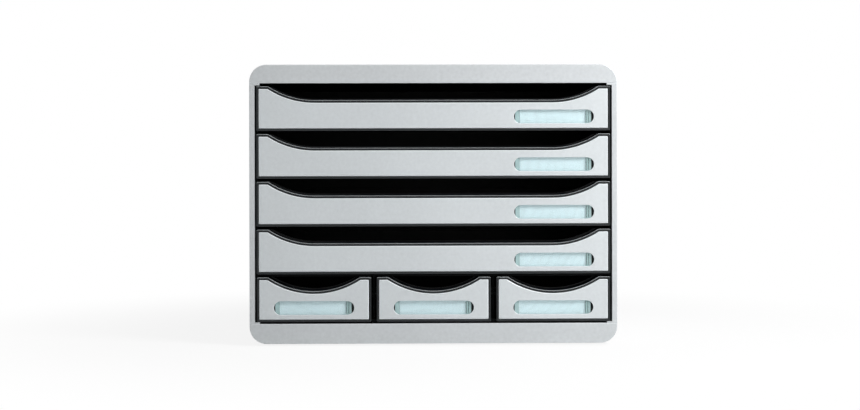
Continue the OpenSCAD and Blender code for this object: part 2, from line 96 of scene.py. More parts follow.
camera_data = bpy.data.cameras.new("camera")
camera = bpy.data.objects.new("camera", camera_data)
bpy.context.scene.collection.objects.link(camera)
bpy.context.scene.camera = camera
camera_data.sensor_width = SENSOR_W
camera_data.lens = SENSOR_W * PIXELS_PER_METRE * CAMERA_DISTANCE / PHOTO_W
camera_data.shift_y = (HORIZON_PIXEL - PHOTO_H / 2) / PHOTO_W
view_line = Vector((math.sin(TURN), math.cos(TURN), 0))
camera.location = Vector((AIM_X, FRONT, CAMERA_HEIGHT)) - CAMERA_DISTANCE * view_line
camera.rotation_euler = (Euler((math.pi / 2, 0, -TURN)).to_matrix()
                         @ Euler((0, 0, LEAN)).to_matrix()).to_euler()
print("lens", round(camera_data.lens, 1), "mm, shift", round(camera_data.shift_y, 4))

# %% [markdown]
# A camera can be matched by eye, but a slip of two pixels is hard to see. So the four edges of the
# casing are worked out in pixels here, to hold against the same edges in the photograph.


# %% Check where the casing's edges fall in the picture
def pixel(point):
    """Where a point falls, in pixels from the picture's top left corner."""
    bpy.context.view_layer.update()
    local = camera.matrix_world.inverted() @ Vector(point)
    scale = PIXELS_PER_METRE * CAMERA_DISTANCE
    middle_y = PHOTO_H / 2 + camera_data.shift_y * PHOTO_W
    across = PHOTO_W / 2 - scale * local.x / local.z
    down = middle_y + scale * local.y / local.z
    return round(across, 1), round(down, 1)


lower_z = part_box("bottom_cover")[0].z
upper_z = cad_box[1].z
middle_z = (lower_z + upper_z) / 2
for label, x, z in (("left side", -SIDE, middle_z), ("right side", SIDE, middle_z),
                    ("top edge", 0, upper_z), ("lower edge", 0, lower_z)):
    print(label, "falls at pixel", pixel((x, FRONT, z)))

# %% [markdown]
# ## Shader maths as plain expressions
#
# A material in Blender is a graph of nodes, and so are the world and a Geometry Nodes tree. Long
# graphs are hard to read as lists of nodes and links. So one small class wraps a socket and lets
# Python's operators add the Math nodes: `1 - grain * 0.2` then reads as what it does. Every other
# node comes from one method that takes its type, its settings and what goes into its sockets.


# %% Wrap a socket
class Signal:
    """What comes out of a node."""

    def __init__(self, graph, socket):
        self.graph = graph
        self.socket = socket

    def maths(self, operation, first, second):
        return self.graph.add("ShaderNodeMath", {"operation": operation}, {0: first, 1: second})

    def __add__(self, other):
        return self.maths("ADD", self, other)

    def __sub__(self, other):
        return self.maths("SUBTRACT", self, other)

    def __mul__(self, other):
        return self.maths("MULTIPLY", self, other)

    def __rsub__(self, other):
        return self.maths("SUBTRACT", other, self)

    __radd__ = __add__
    __rmul__ = __mul__

    def ramp(self, low, high):
        """0 up to low, 1 from high, and a smooth rise between them."""
        return self.graph.add("ShaderNodeMapRange", {"interpolation_type": "SMOOTHSTEP"},
                              {"Value": self, "From Min": low, "From Max": high})


# %% Wrap a tree of nodes
class Graph:
    """A node tree that starts empty."""

    def __init__(self, tree):
        self.tree = tree
        tree.nodes.clear()

    def add(self, kind, settings=None, inputs=None, output=0):
        """A new node: its settings come first, then the values or links of its sockets."""
        node = self.tree.nodes.new(kind)
        for key, value in (settings or {}).items():
            setattr(node, key, value)
        for key, value in (inputs or {}).items():
            if isinstance(value, Signal):
                self.tree.links.new(value.socket, node.inputs[key])
            else:
                node.inputs[key].default_value = value
        return Signal(self, node.outputs[output]) if len(node.outputs) else None


# %% Wrap a material
class Finish(Graph):
    """A material that is written as expressions."""

    def __init__(self, name):
        self.material = bpy.data.materials.new(name)
        self.material.use_nodes = True
        super().__init__(self.material.node_tree)
        self.place = self.add("ShaderNodeTexCoord", output="Object")

    def noise(self, size, detail=2.0, rough=0.5, place=None):
        """Soft blotches of about this size, in metres."""
        return self.add("ShaderNodeTexNoise", None, {"Vector": place or self.place, "Scale": 1 / size,
                                                    "Detail": detail, "Roughness": rough})

    def mix(self, share, first, second):
        """One colour where share is 0 and another where it is 1."""
        return self.add("ShaderNodeMix", {"data_type": "RGBA"}, {0: share, 6: first, 7: second}, 2)

    def stretched(self, x, y, z):
        """The place on the surface, with each direction scaled."""
        return self.add("ShaderNodeMapping", None, {"Vector": self.place, "Scale": (x, y, z)})

    def attribute(self, name):
        """A value stored on the mesh."""
        return self.add("ShaderNodeAttribute", {"attribute_name": name}, None, "Fac")

    def bump(self, height, depth):
        """A surface normal that follows height, depth metres deep."""
        return self.add("ShaderNodeBump", None, {"Height": height, "Distance": depth, "Strength": 1.0})

    def surface(self, **sockets):
        """The material itself, with a Principled shader whose sockets are given by name."""
        shader = self.add("ShaderNodeBsdfPrincipled", None,
                          {name.replace("_", " "): value for name, value in sockets.items()})
        self.add("ShaderNodeOutputMaterial", None, {"Surface": shader})
        print("finish", self.material.name, "has", len(self.tree.nodes), "nodes")
        return self.material


# %% [markdown]
# ## World and lamps
#
# The cabinet was photographed on pure white. A white world alone would light it evenly from all
# round and wash out its shapes. So the world is white only to the camera and in reflections, and
# a dim grey as a source of light.

# %% Make the world
ROOM_LIGHT = 0.25
WHITE = (1.0, 1.0, 1.0, 1.0)

world = bpy.data.worlds.new("studio")
bpy.context.scene.world = world
world.use_nodes = True
studio = Graph(world.node_tree)
shows_white = 0.0
for ray in ("Is Camera Ray", "Is Glossy Ray"):
    this_ray = studio.add("ShaderNodeLightPath", output=ray)
    shows_white = studio.add("ShaderNodeMath", {"operation": "MAXIMUM"}, {0: shows_white, 1: this_ray})
room = studio.add("ShaderNodeBackground", None, {"Color": WHITE, "Strength": ROOM_LIGHT})
backdrop = studio.add("ShaderNodeBackground", None, {"Color": WHITE, "Strength": 1.0})
world_light = studio.add("ShaderNodeMixShader", None, {0: shows_white, 1: room, 2: backdrop})
studio.add("ShaderNodeOutputWorld", None, {"Surface": world_light})
bpy.context.scene.view_settings.view_transform = "Standard"
print("world light", ROOM_LIGHT)

# %% [markdown]
# The fronts get brighter from left to right and from the bottom to the top, so the strongest lamp
# stands close by, above and to the right. It also draws the thin bright lines along the upper
# edges. A wide lamp low on the right lifts the lower rows, and a faint one on the left keeps that
# side open. Area lamps were chosen because their soft shadows fit the photograph's.

# %% Make the lamps
TOP_LAMP_WATTS = 12.3
LOW_LAMP_WATTS = 3.6
LEFT_LAMP_WATTS = 0.2
LAMP_AIM = Vector((0.0, FRONT, 0.135))


def lamp(name, place, size, watts):
    """A square lamp that shines at the middle of the fronts."""
    data = bpy.data.lights.new(name, "AREA")
    data.shape = "SQUARE"
    data.size = size
    data.energy = watts
    lamp_object = bpy.data.objects.new(name, data)
    bpy.context.scene.collection.objects.link(lamp_object)
    beam = LAMP_AIM - Vector(place)
    lamp_object.location = place
    lamp_object.rotation_euler = beam.to_track_quat("-Z", "Y").to_euler()
    print(name, "stands", round(beam.length, 2), "m from the cabinet")


lamp("low_lamp", (0.62, -1.15, 0.14), 0.7, LOW_LAMP_WATTS)
lamp("left_lamp", (-1.5, -1.3, 0.7), 1.2, LEFT_LAMP_WATTS)
lamp("top_lamp", (0.75, -0.65, 0.85), 0.4, TOP_LAMP_WATTS)

# %% [markdown]
# ## The silver finish
#
# The casing and the plates are plastic with fine metal flakes in it. From close by the surface is
# not even: it has a grain of about half a millimetre from the mould, and weak clouds a few
# millimetres wide where the flakes lie differently. Rounded edges are a little smoother and get a
# painted highlight, a lighter colour that stands in for the light they catch. A metal shader alone
# would mirror the room, so this one is mostly plastic with some metal in it.


# %% Write the silver finish
def shade_of(tone, factor, lift=0.0):
    """A darker or lighter colour of the same tone."""
    return tuple(min(1.0, factor * part + lift) for part in tone) + (1.0,)


def silver(name, tone, cloudiness, matt, edge_shine):
    """Silver plastic. Rounded edges get a painted highlight as strong as edge_shine, from 0 to 1."""
    finish = Finish(name)
    grain = finish.noise(0.45 * MM, detail=3.0)
    cloud = finish.noise(3.2 * MM, detail=2.0)
    drift = finish.noise(90 * MM, detail=1.0)
    flakes = finish.noise(0.16 * MM, detail=1.0).ramp(0.62, 0.74)
    edge_wear_and_highlight = finish.attribute("rounded")
    bright = shade_of(tone, 1.5)
    shade = (cloud - 0.5) * cloudiness + (grain - 0.5) * 0.5 + (drift - 0.5) * 0.4 + 0.5
    colour = finish.mix(shade, shade_of(tone, 0.86), shade_of(tone, 1.14))
    colour = finish.mix(flakes * 0.12, colour, bright)
    # Painted highlight: the rounded faces are lightened towards bright, as strong as edge_shine.
    colour = finish.mix(edge_wear_and_highlight * edge_shine, colour, bright)
    rough = matt + (grain - 0.5) * 0.14 + (drift - 0.5) * 0.10 - edge_wear_and_highlight * 0.06
    return finish.surface(Base_Color=colour, Roughness=rough, Metallic=0.22, Specular_IOR_Level=0.4,
                          Normal=finish.bump(grain, 0.035 * MM))


# The last number is how strong the painted highlight on rounded edges is.
CASING_SILVER = silver("casing_silver", (0.505, 0.528, 0.541), 0.7, 0.46, 0.4)
FRONT_SILVER = silver("front_silver", (0.548, 0.579, 0.595), 0.5, 0.42, 0.9)

# %% [markdown]
# ## The black finish
#
# Trays, rails and back are black plastic with a matt spark-eroded grain. It looks dark grey where
# light grazes it and deep black inside. A plain black would lose every shape, so worn edges are
# smoother and painted greyer, which is partly wear and partly a painted highlight, and a little
# dust lightens surfaces that face up. An attribute on the mesh, from 0 to 1, says where the colour
# is greyed further: on the back panel's outer face that is greyed plastic, and on a drawer's rim it
# is mostly a painted highlight and painted light.

# %% Write the black finish
DUST = (0.20, 0.21, 0.21, 1.0)
# The colour of greyed plastic, and of the painted highlight and painted light on the drawers' rims.
GREY_AND_HIGHLIGHT = (0.70, 0.74, 0.76, 1.0)


def black(name, tone, matt, dusty, shine, grey_and_highlight=0.0):
    """Black plastic. dusty and shine say how strong dust and sheen are, and the last argument how strong
    the greying with its painted highlight is.
    """
    finish = Finish(name)
    pits = finish.add("ShaderNodeTexVoronoi", None, {"Vector": finish.place, "Scale": 1 / (0.55 * MM)})
    grain = finish.noise(0.3 * MM, detail=3.0)
    drift = finish.noise(45 * MM, detail=2.0)
    edge_wear_and_highlight = finish.attribute("rounded")
    colour = finish.mix(drift.ramp(0.3, 0.8) * 0.45 + grain * 0.3,
                        shade_of(tone, 1.0), shade_of(tone, 1.8, 0.002))
    # Worn rounded edges are painted greyer: partly wear, partly a painted highlight.
    colour = finish.mix(edge_wear_and_highlight * 0.55, colour, shade_of(tone, 2.0, 0.004))
    facing = finish.add("ShaderNodeNewGeometry", output="Normal")
    upward = finish.add("ShaderNodeSeparateXYZ", None, {0: facing}, "Z").ramp(0.6, 1.0)
    dust = finish.noise(6 * MM, detail=4.0, rough=0.6).ramp(0.45, 0.75) * upward
    colour = finish.mix(dust * dusty, colour, DUST)
    if grey_and_highlight:
        # Greyed plastic on the back panel; on a drawer's rim a painted highlight and painted light.
        bloom = finish.attribute("grey_and_highlight") * (1.25 - grain * 0.5)
        colour = finish.mix(bloom * grey_and_highlight, colour, GREY_AND_HIGHLIGHT)
    rough = matt + (grain - 0.5) * 0.16 + (drift - 0.5) * 0.12 - edge_wear_and_highlight * 0.08
    return finish.surface(Base_Color=colour, Roughness=rough, Specular_IOR_Level=shine,
                          Normal=finish.bump(pits * 0.6 + grain * 0.4, 0.05 * MM))


TRAY_BLACK = black("tray_black", (0.0028, 0.0040, 0.0048), 0.34, dusty=0.05, shine=0.14, grey_and_highlight=0.9)
CARCASS_BLACK = black("carcass_black", (0.0018, 0.0022, 0.0025), 0.55, dusty=0.02, shine=0.04)
BACK_BLACK = black("back_black", (0.0018, 0.0022, 0.0025), 0.45, dusty=0.12, shine=0.18, grey_and_highlight=0.06)

# %% [markdown]
# ## The clear label holders
#
# A holder is a clear plastic sleeve with a blue-green tint: milky enough to look pale over the
# black pocket, and clear enough to show the card's edge. A glass shader would bend the light
# through both walls, which is slow and hides the card. Here the plastic is a thin pale skin, and
# Alpha says how much of it shows: little over the card, and more beside it. The grip ribs are the
# same plastic seen edge on, which bends the dark pocket into view, so their colour is painted darker
# and streaky, a painted shade.

# %% Write the clear plastic
SKIN_OVER_CARD = 0.09
MORE_BESIDE_CARD = 0.39

holder_finish = Finish("holder_clear")
haze = holder_finish.noise(7 * MM, detail=2.0)
scuff = holder_finish.noise(0.5 * MM, detail=3.0, place=holder_finish.stretched(0.25, 1.0, 2.0))
milk = holder_finish.mix(haze, (0.50, 0.72, 0.72, 1.0), (0.60, 0.80, 0.81, 1.0))
# Painted highlight: the holder's rounded front edges are lightened.
milk = holder_finish.mix(holder_finish.attribute("rounded") * 0.5, milk, (0.80, 0.93, 0.93, 1.0))
beside_card = 1 - holder_finish.attribute("over_card")
HOLDER_CLEAR = holder_finish.surface(
    Base_Color=milk, Alpha=SKIN_OVER_CARD + beside_card * MORE_BESIDE_CARD + (haze - 0.5) * 0.04,
    Roughness=0.16 + scuff.ramp(0.5, 0.8) * 0.16, Specular_IOR_Level=0.5,
    Normal=holder_finish.bump(scuff, 0.004 * MM))

# %% Write the ribs' plastic
rib_finish = Finish("holder_ribs")
streak = rib_finish.noise(0.6 * MM, detail=2.0, place=rib_finish.stretched(1.0, 1.0, 0.2))
# Painted shade: the ribs' colour is darker for the dark pocket seen through them.
rib_colour = rib_finish.mix(streak, (0.13, 0.22, 0.22, 1.0), (0.24, 0.36, 0.36, 1.0))
HOLDER_RIBS = rib_finish.surface(
    Base_Color=rib_colour, Alpha=0.45 + streak * 0.2, Roughness=0.2 + (streak - 0.5) * 0.1,
    Normal=rib_finish.bump(streak, 0.01 * MM))

# %% [markdown]
# ## Card, rubber and steel
#
# The label card is paper, so it gets long soft fibres and a fine tooth. The feet are rubber with
# a matt skin and a grey bloom. The screws are bright plated steel with turning marks and faint
# stains. Each of these could be one flat colour, but a close view shows that at once.

# %% Write the card
card_finish = Finish("label_card")
fibre = card_finish.noise(0.35 * MM, detail=4.0, place=card_finish.stretched(0.2, 1.0, 1.0))
tooth = card_finish.noise(0.2 * MM, detail=2.0)
card_colour = card_finish.mix(fibre, (0.64, 0.785, 0.825, 1.0), (0.705, 0.845, 0.885, 1.0))
LABEL_CARD = card_finish.surface(
    Base_Color=card_colour, Roughness=0.82 + (tooth - 0.5) * 0.12, Specular_IOR_Level=0.3,
    Normal=card_finish.bump(fibre * 0.5 + tooth * 0.5, 0.02 * MM))

# %% Write the rubber
rubber_finish = Finish("foot_rubber")
skin = rubber_finish.noise(0.7 * MM, detail=4.0, rough=0.6)
bloom = rubber_finish.noise(5 * MM, detail=3.0).ramp(0.4, 0.8)
rubber_colour = rubber_finish.mix(bloom * 0.6, (0.014, 0.014, 0.015, 1.0), (0.050, 0.049, 0.047, 1.0))
FOOT_RUBBER = rubber_finish.surface(
    Base_Color=rubber_colour, Roughness=0.78 + (skin - 0.5) * 0.2, Specular_IOR_Level=0.35,
    Normal=rubber_finish.bump(skin, 0.06 * MM))

# %% Write the screw steel
steel_finish = Finish("screw_steel")
turning = steel_finish.noise(0.12 * MM, detail=2.0, place=steel_finish.stretched(1.0, 6.0, 1.0))
stain = steel_finish.noise(2.5 * MM, detail=3.0)
steel_colour = steel_finish.mix(stain.ramp(0.35, 0.75), (0.62, 0.63, 0.64, 1.0), (0.46, 0.46, 0.45, 1.0))
SCREW_STEEL = steel_finish.surface(
    Base_Color=steel_colour, Metallic=1.0, Roughness=0.27 + (turning - 0.5) * 0.2 + stain * 0.08,
    Normal=steel_finish.bump(turning, 0.01 * MM))

# %% [markdown]
# ## Rounding the edges
#
# A CAD model has perfectly sharp edges, and no moulded part does. The thin bright line along an
# edge is what makes a shape read as solid, so every part that shows gets rounded edges. The parts
# could be modelled again, but a copy of the CAD mesh keeps every hole and boss in its place. Its
# loose triangles are welded and its flat regions merged, and then a Bevel modifier rounds only
# the edges that a rule picks, by as much as the rule says. Only edges that stick out are rounded,
# because a rounded inner corner would fold into the thin walls beside it. Weighted normals keep
# the large faces flat.

# %% Weld a copy of a CAD mesh
SAME_POINT = 0.001 * MM
SAME_PLANE = math.radians(0.3)


def welded(node):
    """A bmesh of a CAD node, with its triangles welded and its flat regions merged."""
    mesh = bmesh.new()
    mesh.from_mesh(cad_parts[node].data)
    bmesh.ops.remove_doubles(mesh, verts=mesh.verts, dist=SAME_POINT)
    bmesh.ops.dissolve_limit(mesh, angle_limit=SAME_PLANE, verts=mesh.verts,
                             edges=mesh.edges, delimit=set())
    return mesh


# %% Turn a bmesh into an object, and its modifiers into a plain mesh
def as_object(name, mesh, *finishes):
    """The object gets the bmesh's shape, and the bmesh is freed."""
    data = bpy.data.meshes.new(name)
    mesh.to_mesh(data)
    mesh.free()
    for finish in finishes:
        data.materials.append(finish)
    piece = bpy.data.objects.new(name, data)
    bpy.context.scene.collection.objects.link(piece)
    return piece


def settle(piece):
    """The piece's mesh becomes what its modifiers make of it, and they are removed."""
    bpy.context.view_layer.update()
    graph = bpy.context.evaluated_depsgraph_get()
    mesh = bpy.data.meshes.new_from_object(piece.evaluated_get(graph), preserve_all_data_layers=True,
                                           depsgraph=graph)
    piece.modifiers.clear()
    piece.data = mesh


# %% [markdown]
# The Bevel modifier puts the faces that it makes in a second material slot. That slot only says
# which faces are new: it is read into a face attribute, "rounded", which the finishes use for a
# painted highlight on those faces and for wear, and then the slot is removed.


# %% Mark faces for the finishes
def mark(piece, name, rule):
    """Store what the rule gives for each face."""
    marks = piece.data.attributes.new(name, "FLOAT", "FACE")
    marks.data.foreach_set("value", [float(rule(face)) for face in piece.data.polygons])


def mark_rounded(piece):
    mark(piece, "rounded", lambda face: face.material_index > 0)
    finish = piece.data.materials[0]
    piece.data.polygons.foreach_set("material_index", [0] * len(piece.data.polygons))
    piece.data.materials.clear()
    piece.data.materials.append(finish)


# %% Round the edges of a mesh
SHARP = math.radians(35)


def rounded(name, mesh, finish, width, rule=None, segments=3):
    """A new object from a bmesh. The rule gives an edge's share of the width, from 0 to 1."""
    weights = mesh.edges.layers.float.new("bevel_weight_edge")
    for edge in mesh.edges:
        if edge.is_convex and edge.calc_face_angle() > SHARP:
            edge[weights] = rule(edge) if rule else 1.0
    for face in mesh.faces:
        face.smooth = True
    piece = as_object(name, mesh, finish, finish)
    piece.data.set_sharp_from_angle(angle=SHARP)
    bevel = piece.modifiers.new("rounding", "BEVEL")
    bevel.limit_method = "WEIGHT"
    bevel.width = width
    bevel.segments = segments
    bevel.use_clamp_overlap = False
    bevel.loop_slide = False
    bevel.material = 1
    bevel.miter_outer = "MITER_ARC"
    flat = piece.modifiers.new("flat_faces", "WEIGHTED_NORMAL")
    flat.keep_sharp = True
    settle(piece)
    mark_rounded(piece)
    return piece


def stands_for(piece, body, nodes):
    """The piece moves with the body and is seen instead of the CAD nodes."""
    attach(piece, body)
    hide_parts(*nodes)
    print(piece.name, "has", len(piece.data.polygons), "faces")


# %% [markdown]
# ## The casing
#
# Both covers are hollow caps with a rounded outline. Their front edges are rounded by seven tenths
# of a millimetre, and the rounding with its painted highlight gives the light line under the top
# cover and the bright one along the bottom cover's upper edge. The side panels meet them in a fine
# groove. The rounding that faces down at the ends gets no painted highlight, so the top cover's
# side of that groove stays dark. Ribs and bosses out of sight stay sharp. A rule knows an edge by
# where its middle lies: a tenth of a millimetre from the front at most makes it a front edge.

# %% Round the covers
TOUCH = 0.1 * MM
LONG = 100 * MM
PANEL_W = 5 * MM
FACES_DOWN = -0.3
COVER_ROUNDING = 0.7 * MM


def middle_of(edge):
    return (edge.verts[0].co + edge.verts[1].co) / 2


def cover_edge(edge):
    """Front and back edges in full, and by a third the edges where cover and side panel meet."""
    spot = middle_of(edge)
    if spot.y < FRONT + TOUCH or spot.y > BACK - TOUCH:
        return 1.0
    return 0.3 if abs(spot.x) > SIDE - 2 * TOUCH and edge.calc_length() > LONG else 0.0


for node in ("top_cover", "bottom_cover"):
    cover = rounded(node + "_rounded", welded(node), CASING_SILVER, COVER_ROUNDING, cover_edge, 4)
    edge_wear_and_highlight = cover.data.attributes["rounded"].data
    # The painted highlight is taken off the down-facing rounding at the ends, so that side of the groove
    # stays dark.
    for face in cover.data.polygons:
        if face.normal.z < FACES_DOWN and abs(face.center.x) > SIDE - PANEL_W + TOUCH:
            edge_wear_and_highlight[face.index].value = 0.0
    stands_for(cover, "casing", [node])

# %% Round the side panels
PANEL_ROUNDING = 0.5 * MM


def panel_edge(edge):
    """The panel's outer and end edges in front in full, and its other outer edges by a third."""
    spot = middle_of(edge)
    level = edge.verts[0].co.z == edge.verts[1].co.z
    if spot.y < FRONT + TOUCH and (level or abs(spot.x) > SIDE - PANEL_W / 2):
        return 1.0
    return 0.35 if edge.calc_length() > PANEL_W and abs(spot.x) > SIDE - 0.9 * PANEL_W else 0.0


for node in ("left_side_panel", "right_side_panel"):
    panel = rounded(node + "_rounded", welded(node), CASING_SILVER, PANEL_ROUNDING, panel_edge)
    stands_for(panel, "casing", [node])

# %% [markdown]
# ## The black carcass
#
# These parts hide behind the fronts, but they show when a drawer is out. Their edges are rounded
# by a few tenths. The roof and floor panels lie between the covers and the drawers, and only their
# front edges show. The back panel is as black as the rest inside, and its outer face has greyed.

# %% Round the inner parts
HOLE_EDGE = 1 * MM
ROUNDING_MM = {"left_runner_panel": 0.3, "right_runner_panel": 0.3, "drawer_shelf": 0.4,
               "divider_1": 0.18, "divider_2": 0.18, "roof_panel": 0.4, "floor_panel": 0.4}


def long_edge(edge):
    """All but the short edges round holes."""
    return 1.0 if edge.calc_length() > HOLE_EDGE else 0.0


for node, width in ROUNDING_MM.items():
    part = rounded(node + "_rounded", welded(node), CARCASS_BLACK, width * MM, long_edge, 2)
    stands_for(part, "casing", [node])

# %% Round the back panel
BACK_ROUNDING = 0.25 * MM
FACES_BACK = 0.5
back_panel = rounded("back_panel_rounded", welded("back_panel"), BACK_BLACK, BACK_ROUNDING, long_edge, 2)
mark(back_panel, "grey_and_highlight", lambda face: face.normal.y > FACES_BACK)
stands_for(back_panel, "casing", ["back_panel"])

# %% [markdown]
# ## The drawers
#
# The rim round a drawer's front is the part of the tray that shows most. Its front edges are
# rounded by almost half a millimetre and catch the top lamp along the finger scoop. The rim's front
# is painted a faint grey, its rounded corners that face up get a painted highlight, and its lowest
# part gets painted light, a lighter grey.

# %% List the drawers
drawers = [(kind, i) for kind in ("wide", "small") for i in range(1, len(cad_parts))
           if f"{kind}_tray_{i}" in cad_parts]
print("drawers:", ", ".join(f"{kind} {i}" for kind, i in drawers))

# %% Round the trays
TRAY_FRONT = min(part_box("wide_tray_1")[0].y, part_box("small_tray_1")[0].y)
TRAY_ROUNDING = 0.45 * MM
RING_D = 4 * MM
SHORTEST = 1.5 * MM
RIM_D = 0.8 * MM
RIM_FOOT_H = 6 * MM
# Painted light on the rim's lowest part; painted highlight strength on its upward corners follows below.
FOOT_PAINTED_LIGHT = 0.08
FRONT_GREY = 0.024
LEAST_TILT = 0.25
TILT_RANGE = 0.3


def tray_edge(edge):
    """The rim's front edges in full, none just behind, and long edges further in by almost a half."""
    spot = middle_of(edge)
    if spot.y < TRAY_FRONT + TOUCH:
        return 1.0
    if spot.y < TRAY_FRONT + RING_D:
        return 0.0
    return 0.45 if edge.calc_length() > SHORTEST else 0.0


def rim_grey_and_highlight(face, on_corner, foot_z):
    """How grey a face of the rim is painted: a painted highlight on its upper corners, painted light on
    its lowest part, and a faint grey elsewhere on its front.
    """
    if face.center.y > TRAY_FRONT + RIM_D:
        return 0.0
    if face.center.z < foot_z:
        return FOOT_PAINTED_LIGHT
    faces_up = min(1.0, (face.normal.z - LEAST_TILT) / TILT_RANGE)
    return max(FRONT_GREY, faces_up if on_corner else 0.0)


for kind, i in drawers:
    node = f"{kind}_tray_{i}"
    foot_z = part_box(node)[0].z + RIM_FOOT_H
    tray = rounded(node + "_rounded", welded(node), TRAY_BLACK, TRAY_ROUNDING, tray_edge)
    corners = [corner.value > 0.5 for corner in tray.data.attributes["rounded"].data]
    # Painted highlight on the rim's upward corners and painted light on its lowest part.
    mark(tray, "grey_and_highlight", lambda face: rim_grey_and_highlight(face, corners[face.index], foot_z))
    stands_for(tray, f"{kind}_drawer_{i}", [node])

# %% [markdown]
# The silver plate lies almost flush in the rim. Its own edge is rounded more than the rim's, and
# with the silver finish's painted highlight this draws the second bright line under the scoop. The
# edge of the label window is rounded by a third of that, because a wider one, with its painted
# highlight, would put a white outline round the label.

# %% Round the face plates
PLATE_ROUNDING = 0.75 * MM
PLATE_FRONT_D = 0.7 * MM
WINDOW_END = 5 * MM


def plate_edge(edge, holder_low, holder_high):
    """The plate's front edges in full, and those of the window over its holder by a third."""
    spot = middle_of(edge)
    if spot.y > TRAY_FRONT + PLATE_FRONT_D:
        return 0.0
    across = holder_low.x - WINDOW_END < spot.x < holder_high.x + WINDOW_END
    return 0.35 if across and holder_low.z < spot.z < holder_high.z else 1.0


for kind, i in drawers:
    node = f"{kind}_face_plate_{i}"
    holder_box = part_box(f"{kind}_label_holder_{i}")
    plate = rounded(node + "_rounded", welded(node), FRONT_SILVER, PLATE_ROUNDING,
                    lambda edge: plate_edge(edge, *holder_box))
    stands_for(plate, f"{kind}_drawer_{i}", [node])

# %% [markdown]
# ## What repeats: Geometry Nodes
#
# Screws, feet and the grip ribs on the label holders are each one shape set out several times. A
# loop in Python could copy them, but Geometry Nodes shows the layout as one thing that can be
# changed: the tree below takes one shape, makes a row or a grid of points, and puts a copy on
# each. Its sizes are named inputs, so one tree serves all three.


# %% Build the tree that sets out copies
def grid_tree(name):
    """A tree that puts copies of a shape on a grid, which lies flat or stands upright."""
    tree = bpy.data.node_groups.new(name, "GeometryNodeTree")
    graph = Graph(tree)
    for direction, label, kind in (
            ("INPUT", "Geometry", "Geometry"), ("INPUT", "Columns", "Int"), ("INPUT", "Rows", "Int"),
            ("INPUT", "Column spacing", "Float"), ("INPUT", "Row spacing", "Float"),
            ("INPUT", "Middle", "Vector"), ("INPUT", "Upright", "Bool"),
            ("INPUT", "Finish", "Material"), ("OUTPUT", "Geometry", "Geometry")):
        tree.interface.new_socket(label, in_out=direction, socket_type="NodeSocket" + kind)

    def given(label):
        return graph.add("NodeGroupInput", output=label)

    grid = graph.add("GeometryNodeMeshGrid", None, {
        "Size X": (given("Columns") - 1) * given("Column spacing"), "Vertices X": given("Columns"),
        "Size Y": (given("Rows") - 1) * given("Row spacing"), "Vertices Y": given("Rows")})
    points = graph.add("GeometryNodeMeshToPoints", None, {"Mesh": grid})
    upright = graph.add("GeometryNodeSwitch", {"input_type": "VECTOR"}, {
        "Switch": given("Upright"), "True": (math.pi / 2, 0, 0)})
    placed = graph.add("GeometryNodeTransform", None, {
        "Geometry": points, "Rotation": upright, "Translation": given("Middle")})
    copies = graph.add("GeometryNodeInstanceOnPoints", None, {
        "Points": placed, "Instance": given("Geometry")})
    real = graph.add("GeometryNodeRealizeInstances", None, {"Geometry": copies})
    painted = graph.add("GeometryNodeSetMaterial", None, {"Geometry": real, "Material": given("Finish")})
    graph.add("NodeGroupOutput", None, {"Geometry": painted})
    print("tree", name, "has", len(tree.nodes), "nodes")
    return tree


GRID = grid_tree("set_out_copies")


# %% Set out copies of an object's shape
def set_out(piece, **sizes):
    """The sizes are named like the tree's inputs, with _ for each space."""
    modifier = piece.modifiers.new("set_out", "NODES")
    modifier.node_group = GRID
    keys = {item.name: item.identifier for item in GRID.interface.items_tree
            if item.in_out == "INPUT" and item.name != "Geometry"}
    for label, value in sizes.items():
        modifier[keys[label.replace("_", " ")]] = value
    settle(piece)


# %% Spin a profile into a round shape
def turned(name, profile, steps, finish):
    """A closed round shape about +Z from a profile of (radius, height) that starts and ends at 0."""
    mesh = bmesh.new()
    rings = []
    for r, z in profile:
        if r == 0:
            rings.append([mesh.verts.new((0, 0, z))])
        else:
            rings.append([mesh.verts.new((r * math.cos(a), r * math.sin(a), z))
                          for a in (2 * math.pi * k / steps for k in range(steps))])
    for low, high in zip(rings, rings[1:]):
        for k in range(steps):
            corners = [low[k % len(low)], low[(k + 1) % len(low)],
                       high[(k + 1) % len(high)], high[k % len(high)]]
            mesh.faces.new(list(dict.fromkeys(corners)))
    bmesh.ops.recalc_face_normals(mesh, faces=mesh.faces)
    for face in mesh.faces:
        face.smooth = True
    return as_object(name, mesh, finish)


# %% [markdown]
# ### The screws in the back
#
# Eight pan-head screws hold the back panel, in two rows of four. The head is a turned profile with
# a domed top. Its cross recess could be modelled face by face, but a Boolean modifier with two
# tapered bars cuts it in one step. The screw is turned about +Z, cut, laid over so that its head
# faces the back, and only then set out.

# %% Turn one screw
HEAD_R = 3.0 * MM
HEAD_H = 1.6 * MM
SHANK_R = 1.5 * MM
SHANK_L = 12 * MM
LIP_H = 0.2 * MM
DOME_STEPS = 6
DOME_POWER = 0.7
screw_profile = [(0, -SHANK_L), (SHANK_R * 0.3, -SHANK_L), (SHANK_R, -SHANK_L + 1.5 * MM),
                 (SHANK_R, 0), (HEAD_R * 0.97, 0)]
for step in range(DOME_STEPS):
    angle = math.pi / 2 * step / DOME_STEPS
    screw_profile.append((HEAD_R * math.cos(angle) ** DOME_POWER,
                          LIP_H + (HEAD_H - LIP_H) * math.sin(angle) ** DOME_POWER))
screw_profile.append((0, HEAD_H))
screws = turned("back_screws_detailed", screw_profile, steps=32, finish=SCREW_STEEL)
print("the turned screw has", len(screws.data.polygons), "faces")

